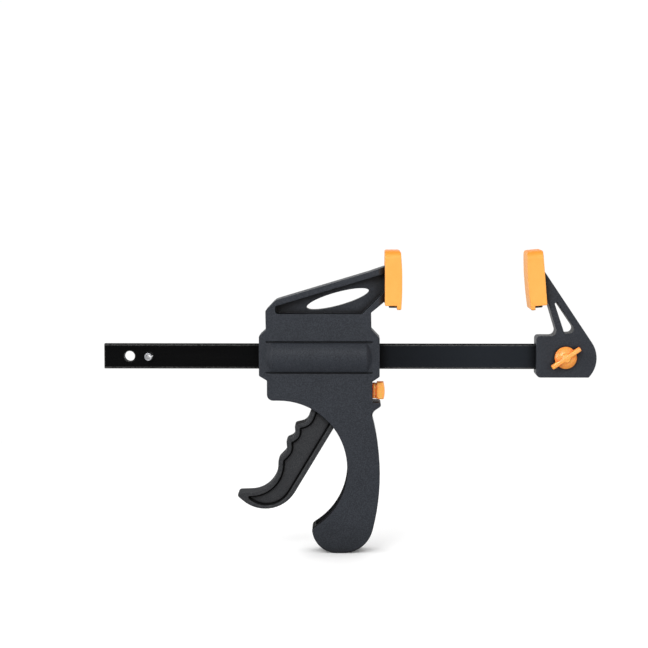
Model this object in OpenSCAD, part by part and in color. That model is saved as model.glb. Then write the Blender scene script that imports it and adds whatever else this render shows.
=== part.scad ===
// Quick release bar clamp. Millimetres, +Z up towards the jaws, +X along the bar towards the
// fixed jaw, and the origin at the centre of the hanging hole in the bar's free end.

/* [Bar] */
// Overall length of the bar
bar_len = 324; // [270:1:420]
// Height of the bar's section
bar_h = 16.8; // [14:0.1:18.5]
// Thickness of the bar's section
bar_t = 5; // [4:0.1:6]
// Radius along the bar's long edges
bar_edge = 1.2; // [0.4:0.1:1.8]
// Distance from the bar's free end to its hanging hole
bar_end = 17; // [12:0.5:24]
// Diameter of the hanging hole
hang_hole_d = 6.9; // [5:0.1:8]
// Distance from the hanging hole to the stop pin
stop_x = 13; // [10:0.5:20]
// Outer diameter of the stop pin
stop_d = 5; // [4:0.1:6]
// Length of the stop pin
stop_len = 16; // [12:0.5:20]
// Distance from the bar's far end to the wing screw
screw_back = 16.5; // [10:0.5:20]

/* [Sliding head] */
// Distance from the hanging hole to the sliding head
head_x = 86.9; // [40:0.1:140]
// Length of the head along the bar, over its end collars
head_w = 80.3; // [76:0.1:90]
// Length of each end collar
collar_w = 4.8; // [3:0.1:6]
// Half height of the end collars
collar_rise = 12.9; // [11.5:0.1:14]
// Thickness of the head across its flats
body_t = 22; // [20:0.5:28]
// Radius of the barrel around the bar
barrel_r = 15; // [14:0.1:18]
// Moulded wall thickness
wall = 2.6; // [1.8:0.1:3]
// Distance from the bar axis down to the body's lower edge
body_drop = 28.9; // [27:0.1:32]
// Distance from the bar axis up to the foot of the arm's web
web_foot = 29; // [24:0.1:34]
// Thickness of the arm's web
web_t = 8; // [5:0.5:12]
// Length of the eye through the arm's web
eye_len = 43; // [30:0.5:50]
// Height of the eye through the arm's web
eye_h = 9; // [6:0.1:10]
// Width of the arm's upper rim
rim_w = 6.2; // [4:0.1:8]
// Slope of the arm's upper edge
arm_slope = 16.7; // [12:0.1:22]

/* [Handle] */
// Distance from the bar axis down to the handle's end
handle_len = 131.5; // [120:0.5:150]
// Radius of the finger throat
throat_r = 45.5; // [40:0.5:50]
// Radius of the bulb at the handle's end
bulb_r = 20.3; // [16:0.1:24]
// Radius of the handle's back
back_r = 148.6; // [110:0.1:180]

/* [Jaw pads] */
// Distance from the sliding head's left collar to the pad's back
pad_x = 83.6; // [80:0.1:100]
// Distance from the bar axis up to the pads
pad_z = 34.6; // [32:0.1:42]
// Height of a pad
pad_h = 36.4; // [32:0.1:44]
// Width of a pad across the bar
pad_w = 30; // [27:0.5:40]
// Thickness of a pad
pad_t = 11.4; // [10:0.1:14]
// Wall of a pad
pad_wall = 2.7; // [2:0.1:3.2]
// Depth of the pad's front lip below its back
pad_lip = 2.7; // [1:0.1:5]
// Lean of the fixed jaw's face towards the sliding jaw
toe_in = 4.8; // [0:0.1:7]

/* [Fixed jaw] */
// Thickness of the fixed jaw
jaw_t = 18; // [16:0.5:24]
// Distance from the wing screw to the fixed jaw's inner side
jaw_back = 19.3; // [17:0.1:24]
// Distance from the bar axis up to the top of the jaw's block
block_rise = 14.2; // [12.5:0.1:17]
// Distance from the bar axis down to the jaw's lower side
block_drop = 13.4; // [12:0.1:16]
// Diameter of the wing screw's stud
stud_d = 6; // [5:0.5:8]
// Diameter of the knob's disc
knob_d = 15.2; // [12:0.1:20]
// Span of the knob's wing
wing_span = 22.6; // [18:0.1:30]
// Angle of the knob's wing at rest
wing_turn = 35; // [0:1:180]

/* [Trigger] */
// Distance from the sliding head's left collar to the trigger's pin
pivot_x = 44.9; // [42:0.1:50]
// Distance from the bar axis down to the trigger's pin
pivot_drop = 24.5; // [23.5:0.1:27]
// Reach of the trigger below its pin
trigger_reach = 77.3; // [66:0.1:84]
// Side play of the trigger and the drive plates in the housing
side_play = 0.4; // [0.2:0.05:1]
// Width of the rim around the trigger's panel
trigger_rim = 3.1; // [2:0.1:4]
// Depth of the panel in each side of the trigger
trigger_panel = 3; // [1:0.1:5]
// Width and depth of the groove around the trigger's panel
trigger_groove = 0.8; // [0.4:0.1:1.2]
// Diameter of the trigger's pin
pin_d = 5; // [4:0.1:6]
// Turn of the trigger from rest to the handle
trigger_turn = 20.5; // [10:0.5:22]

/* [Mechanism] */
// Thickness of each clutch plate
plate_t = 3; // [2:0.1:3.5]
// Wire of the drive spring
drive_wire = 1.4; // [1:0.1:1.6]
// Turns of the drive spring
drive_turns = 7; // [4:1:9]
// Wire of the brake spring
brake_wire = 0.8; // [0.5:0.1:1]
// Outer diameter of the brake spring
brake_spring_d = 6; // [5:0.1:6.4]
// Tilt of the brake plate at rest
brake_tilt = 3.5; // [1:0.1:4]
// Width of the release button across the bar
button_w = 12; // [9:0.5:13]
// Height of the release button
button_h = 10.9; // [9:0.1:12]
// Shank diameter of the shell screws
screw_d = 2.9; // [2.5:0.1:3.5]
// Shank length of the shell screws
screw_len = 14; // [12:0.5:16]

/* [Hidden] */
$fn = 72;
// Clearance between moulded faces, running clearance round pins, and the overrun of cuts
gap = 0.3;
run = 0.05;
over = 1;
// Greatest height of an arc over its chord in the outlines
arc_tol = 0.04;

// Colours
steel_black = [0.07, 0.07, 0.08];
steel_bright = [0.72, 0.73, 0.75];
slate = [0.21, 0.22, 0.25];
slate_deep = [0.17, 0.18, 0.20];
orange_soft = [1.0, 0.70, 0.32];
orange_hard = [1.0, 0.54, 0.17];

// Bar: its far end and the wing screw's place, counted from the hanging hole
bar_tip = bar_len - bar_end;
screw_x = bar_tip - screw_back;

// Head: left and right faces of the body between the collars, and the flats' half thickness
body_l = collar_w;
body_r = head_w - collar_w;
half_t = body_t / 2;
core_half = half_t - wall;
trigger_t = 2 * (core_half - side_play);
drive_plate_w = trigger_t;
shoulder = 0.45 * collar_rise;
hip = 0.8 * collar_w;

// Handle: centres of the throat and the bulb, the back's bow, the toe and the thumb beak
throat_x = 0.165 * head_w;
throat_z = -body_drop - throat_r;
bulb_x = body_r - 0.975 * bulb_r;
bulb_z = bulb_r - handle_len;
back_z = -0.592 * handle_len;
back_bow = 0.068 * back_r;
toe_r = 0.16 * bulb_r;
toe_turn = 47;
beak_z = -body_drop - 0.1 * bulb_r;
beak_reach = 0.3 * bulb_r;

// Jaw plates inside the pads, and where the arm meets the sliding one
plate_half = pad_w / 2 - pad_wall - run;
jaw_plate_t = 0.93 * pad_t - 2 * pad_wall;
plate_back = pad_wall + run;
plate_foot = -0.6 * pad_lip;
plate_top = pad_h - pad_wall - run;
plate_x = pad_x + plate_back;
neck_half = 0.32 * pad_w;
arm_join = 0.735 * pad_h;
jaw_arm_join = 0.765 * pad_h;
arm_line = pad_z + 0.717 * pad_h;
arm_rim = 0.63 * rim_w;
arm_foot = pad_z + 0.135 * pad_h;

// Bar slot, and the tunnel of the drive spring
slot_h = bar_h + 3 * gap;
slot_t = bar_t + 3 * gap;
spring_r = norm([bar_h, bar_t]) / 2 + 2 * gap + drive_wire / 2;
tunnel_r = spring_r + drive_wire / 2 + 2 * gap;

// Mechanism along the head: spring, seat, two drive plates, trigger nose, partition, brake
mech_top = tunnel_r + 0.75 * wall;
guide_end = body_l + 2.2 * wall;
nose_arm = 0.51 * pivot_drop;
nose_r = 0.2 * nose_arm;
hub_r = 1.4 * pin_d;
hub_half = core_half - 1.1 * wall;
pin_half = half_t - 0.45 * wall;
drive_face = pivot_x + nose_arm * sin(trigger_turn / 2) - nose_r - gap;
seat_t = plate_t / 3;
seat_face = drive_face - 2 * plate_t - 2 * gap;
drive_foot = -0.92 * bar_h;
drive_top = 0.685 * bar_h;
brake_x = body_r - wall - 1.35 * plate_t;
brake_z = mech_top - plate_t / 3;
brake_w = 0.94 * drive_plate_w;
brake_foot = body_drop - plate_t;
brake_spring_z = -(bar_h + brake_spring_d) / 2 - 6 * gap;
part_end = brake_x - 2.25 * plate_t;
part_w = 0.95 * wall;

// Release button: cap, neck and the block that takes the brake plate's tail
button_top = -collar_rise - 1.5 * plate_t;
button_foot = button_top - button_h;
cap_t = 0.48 * button_h;
cap_x = body_r + plate_t;
neck_top = button_top - 0.1 * button_h;
neck_foot = button_foot + 0.03 * button_h;
neck_half_w = 0.42 * button_w;
tail_w = 0.7 * button_w;

// Shell screws: heads sunk in the far shell, and the places of their bosses
head_d = 1.93 * screw_d;
head_t = 0.75 * screw_d;
screw_seat = half_t - 1.65 * head_t;
boss_r = 1.3 * screw_d;
boss_in = wall + 1.1 * boss_r;
screw_spots = [
    [body_l + boss_in, web_foot - wall - 1.4 * boss_r],
    [body_r - boss_in, web_foot - wall - 1.4 * boss_r],
    [body_l + boss_in, boss_in - body_drop],
    [body_r - 2.3 * boss_r, -body_drop - 3.4 * boss_r],
    [body_r - 1.6 * boss_r, back_z],
    [bulb_x, bulb_z]];

// Fixed jaw: its left side, the bar's socket, the nut and the washer
jaw_half = jaw_t / 2;
jaw_l = screw_x - jaw_back;
socket_h = bar_h + gap;
socket_t = bar_t + gap;
nut_af = 5 / 3 * stud_d;
nut_t = 5 / 6 * stud_d;
nut_floor = socket_t / 2 + 0.25 * wall;
washer_t = stud_d / 6;
knob_face = -jaw_half - washer_t;
fixed_pad_x = screw_x - 0.668 * jaw_back;
fixed_pad_z = pad_z + 0.018 * pad_h;

// Outline corners of the trigger, counted from its pin, with each corner's radius, as shares of
// its reach: the front edge with its finger swells, then the tip, the foot and the rear edge
front_shares = [[-0.087, -0.013, 0], [-0.167, -0.243, 0.078], [-0.275, -0.268, 0.025],
    [-0.267, -0.363, 0.052], [-0.348, -0.399, 0.033], [-0.339, -0.490, 0.061],
    [-0.415, -0.569, 0.053], [-0.427, -0.848, 0.240]];
tip_shares = [[-0.768, -0.859, 0.026], [-0.768, -0.896, 0.024]];
panel_tip_shares = [[-0.712, -0.856, 0.045], [-0.720, -0.929, 0], [-0.454, -1.160, 0.270]];
rear_shares = [[-0.454, -1.160, 0.300], [0.131, -0.185, 0.060], [0.092, -0.013, 0]];
panel_top_shares = [[-0.110, -0.095, 0.020]];
panel_rear_shares = [[0.131, -0.185, 0.060], [0.112, -0.095, 0.020]];

function unit(v) = v / norm(v);
function cross2(a, b) = a[0] * b[1] - a[1] * b[0];
function flat(lists) = [for (l = lists, p = l) p];
function xy(c) = [c[0], c[1]];

// Points of the arc of radius r that rounds corner b between its neighbours a and c
function corner_arc(a, b, c, r) =
    let (u = unit(a - b), v = unit(c - b), half = acos(u * v) / 2, side = sign(cross2(u, v)))
    r <= 0 || half > 89 ? [b] :
    let (t = r / tan(half), mid = b + unit(u + v) * r / sin(half), from = b + u * t - mid,
        turn = 180 - 2 * half, steps = ceil(turn / (2 * acos(1 - min(arc_tol / r, 0.2)))))
    [for (i = [0:steps])
        let (w = -side * turn * i / steps)
        mid + [from[0] * cos(w) - from[1] * sin(w), from[0] * sin(w) + from[1] * cos(w)]];

// Outline of a list of corners, each [x, z, radius]
function outline(corners) =
    let (n = len(corners))
    flat([for (i = [0:n - 1])
        corner_arc(xy(corners[(i + n - 1) % n]), xy(corners[i]), xy(corners[(i + 1) % n]),
            corners[i][2])]);

// The same corners moved inwards by d, for corners that run anticlockwise
function inset(corners, d) =
    let (n = len(corners))
    [for (i = [0:n - 1])
        let (b = xy(corners[i]), u = unit(b - xy(corners[(i + n - 1) % n])),
            v = unit(xy(corners[(i + 1) % n]) - b), nu = [-u[1], u[0]], nv = [-v[1], v[0]],
            p = b + d * (nu + nv) / (1 + nu * nv),
            r = corners[i][2] + (cross2(u, v) > 0 ? -d : d))
        [p[0], p[1], corners[i][2] == 0 ? 0 : max(r, 0)]];

function from_pin(shares) = [for (s = shares)
    [pivot_x + s[0] * trigger_reach, s[1] * trigger_reach - pivot_drop, s[2] * trigger_reach]];

// Height of the arm's upper edge at x, and a point given in the fixed pad's own frame
function arm_edge(x) = arm_line - (plate_x - x) * tan(arm_slope);
function on_fixed_pad(x, z) = [fixed_pad_x - x * cos(toe_in) - z * sin(toe_in),
    fixed_pad_z - x * sin(toe_in) + z * cos(toe_in)];

// Corners of the handle from the body's lower left round to the thumb beak, anticlockwise
handle_corners = [
    [body_l + 0.1 * collar_w, -body_drop, 0.2 * bulb_r],
    [throat_x + throat_r, -body_drop, throat_r],
    [throat_x + throat_r, throat_z - throat_r * tan(28), throat_r],
    [bulb_x - 1.016 * bulb_r, bulb_z - 0.176 * bulb_r, toe_r],
    [bulb_x - 0.896 * bulb_r, -handle_len, 0.83 * bulb_r],
    [bulb_x + 0.795 * bulb_r, -handle_len, bulb_r],
    [body_r + back_bow, back_z, back_r],
    [body_r - 0.04 * bulb_r, beak_z - 0.3 * bulb_r, 0.25 * bulb_r]];
head_corners = concat(handle_corners, [
    [body_r + beak_reach, beak_z - 0.07 * bulb_r, 0.085 * bulb_r],
    [body_r + 0.84 * beak_reach, beak_z + 0.04 * bulb_r, 0.06 * bulb_r],
    [body_r, beak_z + 0.04 * bulb_r, 0.05 * bulb_r],
    [body_r, -1.25 * collar_rise, 0.1 * collar_w],
    [head_w, -collar_rise, 0.25 * collar_w],
    [head_w, collar_rise, 0.25 * collar_w],
    [body_r - 0.15 * collar_w, collar_rise + shoulder, 0.2 * collar_w],
    [body_r - 0.2 * collar_w, 1.03 * web_foot, 0.2 * collar_w],
    [plate_x, arm_foot, 0],
    [plate_x, pad_z + arm_join, 0],
    [pad_x - 1.6 * rim_w, arm_edge(pad_x - 1.6 * rim_w), 5 * rim_w],
    [body_l + rim_w, arm_edge(body_l + rim_w), 1.2 * rim_w],
    [body_l - 0.1 * collar_w, 1.07 * web_foot, 0.4 * collar_w],
    [body_l - 0.05 * collar_w, 1.42 * collar_rise, 0],
    [0, 1.1 * collar_rise, 0.35 * collar_w],
    [0, -0.96 * collar_rise, 0.3 * collar_w],
    [body_l + 0.1 * collar_w, -1.2 * collar_rise, 0]]);
core_corners = inset(concat(handle_corners,
    [[body_r, mech_top + wall, 0], [body_l, mech_top + wall, 0]]), wall);
web_corners = [
    [body_l + rim_w, web_foot, 0.3 * rim_w],
    [body_r - 1.13 * rim_w, web_foot, 0.1 * rim_w],
    [plate_x, web_foot + plate_x - body_r + 1.13 * rim_w, 0],
    [plate_x, arm_edge(plate_x) - arm_rim / cos(arm_slope), 0],
    [body_l + rim_w, arm_edge(body_l + rim_w) - arm_rim / cos(arm_slope), 0.1 * rim_w]];

// Corners of the trigger's blade and of its panel, and the channel it swings into
trigger_corners = from_pin(concat(front_shares, tip_shares, rear_shares));
panel_corners = inset(from_pin(concat(panel_top_shares, [for (i = [1:7]) front_shares[i]],
    panel_tip_shares, panel_rear_shares)), trigger_rim);
window_corners = [
    [trigger_corners[0][0] - 2 * gap, trigger_corners[0][1], 0],
    [trigger_corners[1][0] - 2 * gap, trigger_corners[1][1], 0],
    [throat_x, throat_z, 0],
    [throat_x + throat_r * cos(toe_turn), throat_z - 1.5 * throat_r * sin(toe_turn), 0],
    [throat_x + 1.5 * throat_r, throat_z - 0.3 * throat_r, 0],
    [throat_x + 1.5 * throat_r, trigger_corners[0][1], 0]];
nose = [pivot_x + nose_arm * sin(trigger_turn / 2),
    nose_arm * cos(trigger_turn / 2) - pivot_drop];

// Corners of a pad from its side and from its front, counted from its back's lower edge
pad_side = [
    [0, 0, 0.07 * pad_t],
    [plate_back + jaw_plate_t + run, 0, 0],
    [plate_back + jaw_plate_t + run, -pad_lip, 0],
    [0.95 * pad_t, -pad_lip, 0.08 * pad_t],
    [pad_t, 0.22 * pad_h, 3 * pad_h],
    [pad_t, 0.62 * pad_h, 3 * pad_h],
    [0.92 * pad_t, pad_h, 0.17 * pad_t],
    [0, pad_h, 0.1 * pad_t]];
pad_front = [
    [-pad_w / 2, -pad_lip, 0.03 * pad_h],
    [pad_w / 2, -pad_lip, 0.03 * pad_h],
    [pad_w / 2, pad_h, 0.14 * pad_h],
    [-pad_w / 2, pad_h, 0.14 * pad_h]];

// Corners of the fixed jaw and of the window through its arm
jaw_join = on_fixed_pad(plate_back, jaw_arm_join);
jaw_foot = on_fixed_pad(plate_back, 0.03 * pad_h);
jaw_corners = [
    [jaw_l, -block_drop, 0.22 * block_drop],
    [screw_x + 0.81 * jaw_back, -block_drop, 0.1 * block_drop],
    [screw_x + 1.3 * jaw_back, -0.1 * block_drop, 0.96 * jaw_back],
    [jaw_join[0], jaw_join[1], 0],
    [jaw_foot[0], jaw_foot[1], 0],
    [fixed_pad_x + 0.115 * pad_t, fixed_pad_z + 0.02 * pad_h, 0],
    [screw_x - 0.26 * jaw_back, block_rise, 0.18 * jaw_back],
    [jaw_l, block_rise, 0.15 * block_rise]];
jaw_window = [
    [screw_x - 0.04 * jaw_back, block_rise + 0.09 * jaw_back, 0.09 * jaw_back],
    [screw_x + 0.42 * jaw_back, block_rise + 0.09 * jaw_back, 0.155 * jaw_back],
    [screw_x - 0.487 * jaw_back, block_rise + 1.43 * jaw_back, 0.047 * jaw_back]];

module prism(corners, y0, y1) {
    translate([0, y1, 0]) rotate([90, 0, 0]) linear_extrude(y1 - y0) polygon(outline(corners));
}

module block(x0, x1, y0, y1, z0, z1) {
    translate([x0, y0, z0]) cube([x1 - x0, y1 - y0, z1 - z0]);
}

module post(x, z, d, y0, y1) {
    translate([x, y1, z]) rotate([90, 0, 0]) cylinder(d = d, h = y1 - y0);
}

// Draws its child, whose sketch lies in Y and Z, as a slab from x0 to x1
module slab(x0, x1) {
    translate([x0, 0, 0]) rotate([90, 0, 90]) linear_extrude(x1 - x0) children();
}

module round_rect(w, h, r) {
    square([w - 2 * r, h], center = true);
    square([w, h - 2 * r], center = true);
    for (i = [-1, 1], j = [-1, 1]) translate([i * (w / 2 - r), j * (h / 2 - r)]) circle(r);
}

// Coil of wire along +X from the origin, as one tube
module coil(r, wire, length, turns) {
    rings = turns * 14;
    sides = 6;
    pitch = (length - wire) / turns;
    points = [for (i = [0:rings], j = [0:sides - 1])
        let (a = i / rings * turns * 360, b = j * 360 / sides, q = r + wire / 2 * cos(b))
        [wire / 2 + pitch * turns * i / rings + wire / 2 * sin(b), q * cos(a), q * sin(a)]];
    walls = [for (i = [0:rings - 1], j = [0:sides - 1])
        let (k = (j + 1) % sides, p = i * sides, n = p + sides)
        for (t = [[p + j, n + j, n + k], [p + j, n + k, p + k]]) t];
    ends = [for (j = [1:sides - 2])
        for (t = [[0, j, j + 1], [rings * sides, rings * sides + j + 1, rings * sides + j]]) t];
    polyhedron(points, concat(walls, ends));
}

module bar() {
    color(steel_black) difference() {
        slab(-bar_end, bar_tip) round_rect(bar_t, bar_h, bar_edge);
        post(0, 0, hang_hole_d, -bar_t, bar_t);
        post(stop_x, 0, stop_d + 2 * run, -bar_t, bar_t);
        post(screw_x, 0, stud_d + 2 * gap, -bar_t, bar_t);
        post(screw_x - 3.36 * jaw_back, -0.244 * bar_h, 0.33 * stop_d, -bar_t, 0.3 * stop_d - bar_t);
    }
}

module stop_pin() {
    color(steel_bright) difference() {
        post(stop_x, 0, stop_d, -stop_len / 2, stop_len / 2);
        post(stop_x, 0, 0.62 * stop_d, -stop_len, stop_len);
        block(stop_x, stop_x + stop_d, -stop_len, stop_len, -0.1 * stop_d, 0.1 * stop_d);
    }
}

// Plate that a pad caps, in the pad's own frame
module jaw_plate() {
    corner = 0.1 * pad_h;
    slab(plate_back, plate_back + jaw_plate_t)
        translate([0, (plate_foot + plate_top) / 2])
            round_rect(2 * plate_half, plate_top - plate_foot, corner);
}

module pad() {
    difference() {
        intersection() {
            prism(pad_side, -pad_w / 2, pad_w / 2);
            slab(-over, pad_t + over) polygon(outline(pad_front));
        }
        block(pad_wall, plate_back + jaw_plate_t + run, -plate_half - run, plate_half + run,
            -pad_lip - over, pad_h - pad_wall);
        block(-over, plate_back, -neck_half - gap, neck_half + gap, -pad_lip - over,
            max(arm_join, jaw_arm_join) + gap);
    }
}

module at_fixed_pad() {
    translate([fixed_pad_x, 0, fixed_pad_z]) rotate([0, -toe_in, 0]) mirror([1, 0, 0]) children();
}

module fixed_jaw() {
    color(slate) difference() {
        union() {
            prism(jaw_corners, -jaw_half, jaw_half);
            at_fixed_pad() jaw_plate();
        }
        prism(jaw_window, -jaw_t, jaw_t);
        block(jaw_l - over, bar_tip + gap, -socket_t / 2, socket_t / 2, -socket_h / 2,
            socket_h / 2);
        post(screw_x, 0, stud_d + 2 * gap, -jaw_t, nut_floor + over);
        translate([screw_x, jaw_t, 0]) rotate([90, 0, 0])
            cylinder(d = (nut_af + gap) / cos(30), h = jaw_t - nut_floor, $fn = 6);
    }
}

module jaw_nut() {
    color(steel_bright) difference() {
        translate([screw_x, nut_floor + nut_t, 0]) rotate([90, 0, 0])
            cylinder(d = nut_af / cos(30), h = nut_t, $fn = 6);
        post(screw_x, 0, stud_d, -jaw_t, jaw_t);
    }
}

module fixed_pad() {
    color(orange_soft) at_fixed_pad() pad();
}

module knob_washer() {
    color(steel_bright) difference() {
        post(screw_x, 0, 2 * stud_d, knob_face, -jaw_half);
        post(screw_x, 0, stud_d + gap, -jaw_t, 0);
    }
}

// Disc with a domed face, and a wing across it with a round boss at its middle
module wing_knob() {
    disc_t = 0.12 * knob_d;
    dome = 0.13 * knob_d;
    wing_t = 0.14 * wing_span;
    wing_h = 0.36 * knob_d;
    dome_r = (pow(knob_d / 2, 2) + pow(dome, 2)) / (2 * dome);
    color(orange_hard) translate([screw_x, knob_face, 0]) rotate([90, 0, 0]) difference() {
        union() {
            cylinder(d = knob_d, h = disc_t);
            intersection() {
                translate([0, 0, disc_t + dome - dome_r]) sphere(dome_r, $fn = 120);
                cylinder(d = knob_d, h = wing_h);
            }
            cylinder(d = 0.42 * knob_d, h = wing_h);
            rotate(wing_turn) translate([0, 0, disc_t / 2]) linear_extrude(wing_h - disc_t / 2)
                round_rect(wing_span, wing_t, 0.3 * wing_t);
        }
        translate([0, 0, -over]) cylinder(d = stud_d, h = over + 0.6 * wing_h);
    }
}

module knob_stud() {
    wing_h = 0.36 * knob_d;
    color(steel_bright)
        post(screw_x, 0, stud_d - 2 * run, knob_face - 0.6 * wing_h + gap, nut_floor + nut_t);
}

// Half of the sliding head on the near side of the parting plane
module half_head() {
    difference() {
        union() {
            difference() {
                head_blank();
                prism(web_corners, -half_t - over, -web_t / 2);
                web_eye();
                prism(core_corners, -core_half, over);
                block(body_l + wall, body_r - wall, -core_half, over, mech_top + wall,
                    web_foot - wall);
                neck_taper();
                for (z = [-1, 1]) barrel_groove(z);
            }
            head_ribs();
        }
        block(-over, head_w + over, -slot_t / 2, over, -slot_h / 2, slot_h / 2);
        translate([guide_end, 0, 0]) rotate([0, 90, 0])
            cylinder(r = tunnel_r, h = seat_face + gap - guide_end);
        intersection() {
            prism(window_corners, -core_half, over);
            post(throat_x, throat_z, 2 * throat_r + 3 * wall, -core_half, over);
        }
        post(pivot_x, -pivot_drop, pin_d + 2 * run, -pin_half - run, over);
        block(body_r - wall - over, head_w + beak_reach, -button_w / 2 - gap, over,
            button_foot - 0.18 * button_h, button_top - gap);
    }
}

// Flat body, arm and handle, with the barrel round the bar and the plate for the pad
module head_blank() {
    prism(head_corners, -half_t, 0);
    intersection() {
        rotate([0, 90, 0]) rotate_extrude() polygon([[0, body_l], [half_t, body_l],
            [barrel_r, body_l + hip], [barrel_r, body_r - hip], [half_t, body_r], [0, body_r]]);
        block(0, head_w, -barrel_r - over, 0, -barrel_r - over, barrel_r + over);
    }
    intersection() {
        translate([pad_x, 0, pad_z]) jaw_plate();
        block(pad_x, pad_x + pad_t, -pad_w, 0, pad_z - pad_h, pad_z + pad_h);
    }
}

// Long eye through the arm's web, in line with the arm
module web_eye() {
    tilt = 0.93 * arm_slope;
    translate([0.652 * head_w, over, web_foot + 1.06 * eye_h]) rotate([90, 0, 0]) rotate(tilt)
        linear_extrude(web_t + over) polygon([for (a = [0:6:359])
            [eye_len / 2 * cos(a), eye_h / 2 * sin(a)]]);
}

// Narrows the arm behind the plate so that it passes the pad's back
module neck_taper() {
    translate([0, 0, arm_foot - pad_h / 2]) linear_extrude(pad_h + arm_join) polygon([
        [pad_x - 1.5 * pad_wall, -half_t], [pad_x - gap, -neck_half], [plate_x, -neck_half],
        [plate_x, -half_t - over], [pad_x - 1.5 * pad_wall, -half_t - over]]);
}

module barrel_groove(side) {
    chord = sqrt(pow(barrel_r, 2) - pow(half_t, 2));
    groove = 0.35 * wall;
    translate([0, 0, side * chord]) block(body_l, body_r, -half_t - over, groove - half_t,
        -groove / 2, groove / 2);
}

// Bar guides, partition, brake anchor, screw bosses, pin boss and stiffening ribs
module head_ribs() {
    rib_t = 0.6 * wall;
    block(body_l, guide_end, -core_half, 0, -collar_rise, mech_top);
    block(part_end - part_w, part_end, -core_half, 0, -1.07 * bar_h, mech_top);
    block(brake_x - plate_t / 2 - gap - part_w, brake_x - plate_t / 2 - gap, -core_half, 0,
        brake_z - 0.7 * plate_t, mech_top);
    block(brake_x + plate_t / 2 + gap, body_r - wall, -core_half, 0, brake_z - 0.7 * plate_t,
        mech_top);
    for (x = [0.38, 0.62] * head_w)
        block(x, x + rib_t, -core_half, 0, mech_top + wall, web_foot - wall);
    for (s = screw_spots) post(s[0], s[1], 2 * boss_r, -core_half, 0);
    post(pivot_x, -pivot_drop, 2 * pin_d, -core_half, -hub_half - gap);
    intersection() {
        prism(core_corners, -core_half, -0.5 * core_half);
        for (z = [0.5, 0.69, 0.78] * handle_len)
            block(0, head_w + back_bow, -core_half, 0, -z - rib_t, -z);
    }
}

module near_shell() {
    color(slate) translate([head_x, 0, 0]) difference() {
        half_head();
        for (s = screw_spots)
            post(s[0], s[1], screw_d + 2 * run, screw_seat - screw_len - gap, over);
    }
}

module far_shell() {
    color(slate) translate([head_x, 0, 0]) difference() {
        mirror([0, 1, 0]) half_head();
        for (s = screw_spots) {
            post(s[0], s[1], screw_d + 2 * gap, -over, half_t);
            post(s[0], s[1], head_d + 4 * gap, screw_seat, half_t + over);
        }
    }
}

module shell_screws() {
    slot = 0.22 * head_d;
    color(steel_bright) translate([head_x, 0, 0]) for (s = screw_spots) difference() {
        union() {
            post(s[0], s[1], screw_d, screw_seat - screw_len, screw_seat);
            post(s[0], s[1], head_d, screw_seat, screw_seat + head_t);
        }
        translate([s[0], screw_seat + head_t, s[1]]) {
            cube([0.6 * head_d, head_t, slot], center = true);
            cube([slot, head_t, 0.6 * head_d], center = true);
        }
    }
}

module moving_pad() {
    color(orange_soft) translate([head_x + pad_x, 0, pad_z]) pad();
}

module trigger_pin() {
    color(steel_bright) post(head_x + pivot_x, -pivot_drop, pin_d, -pin_half, pin_half);
}

module trigger() {
    blade = trigger_t / 2;
    side = [cos(trigger_turn / 2), -sin(trigger_turn / 2)] * nose_r;
    pin = [pivot_x, -pivot_drop];
    color(slate_deep) translate([head_x, 0, 0]) difference() {
        union() {
            difference() {
                prism(trigger_corners, -blade, blade);
                for (y = [-blade - over, blade - trigger_panel])
                    prism(panel_corners, y, y + trigger_panel + over);
                for (y = [-blade - over, blade - trigger_panel - trigger_groove])
                    difference() {
                        prism(panel_corners, y, y + trigger_panel + trigger_groove + over);
                        prism(inset(panel_corners, trigger_groove), y - over, y + blade);
                    }
                for (y = [-blade - over, hub_half])
                    post(pin[0], pin[1], 2.6 * hub_r, y, y + blade + over - hub_half);
            }
            post(pin[0], pin[1], 2 * hub_r, -hub_half, hub_half);
            post(nose[0], nose[1], 2 * nose_r, -hub_half, hub_half);
            translate([0, hub_half, 0]) rotate([90, 0, 0]) linear_extrude(2 * hub_half)
                polygon([pin, pin + 2 * side, nose + side, nose - side]);
        }
        post(pin[0], pin[1], pin_d + 2 * run, -trigger_t, trigger_t);
    }
}

// Clutch plate with its right face at x, hung on the bar
module drive_plate(x) {
    color(steel_bright) slab(head_x + x - plate_t, head_x + x) difference() {
        translate([0, (drive_foot + drive_top) / 2])
            round_rect(drive_plate_w, drive_top - drive_foot, 0.16 * drive_plate_w);
        square([bar_t + 2 * gap, bar_h + 2 * gap], center = true);
    }
}

module drive_plate_front() {
    drive_plate(drive_face - plate_t - gap);
}

module drive_plate_rear() {
    drive_plate(drive_face);
}

module spring_seat() {
    color(steel_bright) slab(head_x + seat_face - seat_t, head_x + seat_face) difference() {
        circle(spring_r + drive_wire / 2 + run);
        square([bar_t + 2 * gap, bar_h + 2 * gap], center = true);
    }
}

module drive_spring() {
    color(steel_bright) translate([head_x + guide_end + gap, 0, 0])
        coil(spring_r, drive_wire, seat_face - seat_t - guide_end - 2 * gap, drive_turns);
}

module at_brake(turn) {
    translate([brake_x, 0, brake_z]) rotate([0, -turn, 0]) translate([-brake_x, 0, -brake_z])
        children();
}

module brake_plate() {
    top = mech_top - gap;
    color(steel_bright) translate([head_x, 0, 0]) at_brake(brake_tilt)
        slab(brake_x - plate_t / 2, brake_x + plate_t / 2) difference() {
            union() {
                translate([0, (drive_foot + top) / 2])
                    round_rect(brake_w, top - drive_foot, plate_t / 3);
                translate([-tail_w / 2, -brake_foot]) square([tail_w, brake_foot]);
            }
            square([bar_t + 2 * gap, bar_h + 4 * gap], center = true);
        }
}

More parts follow.
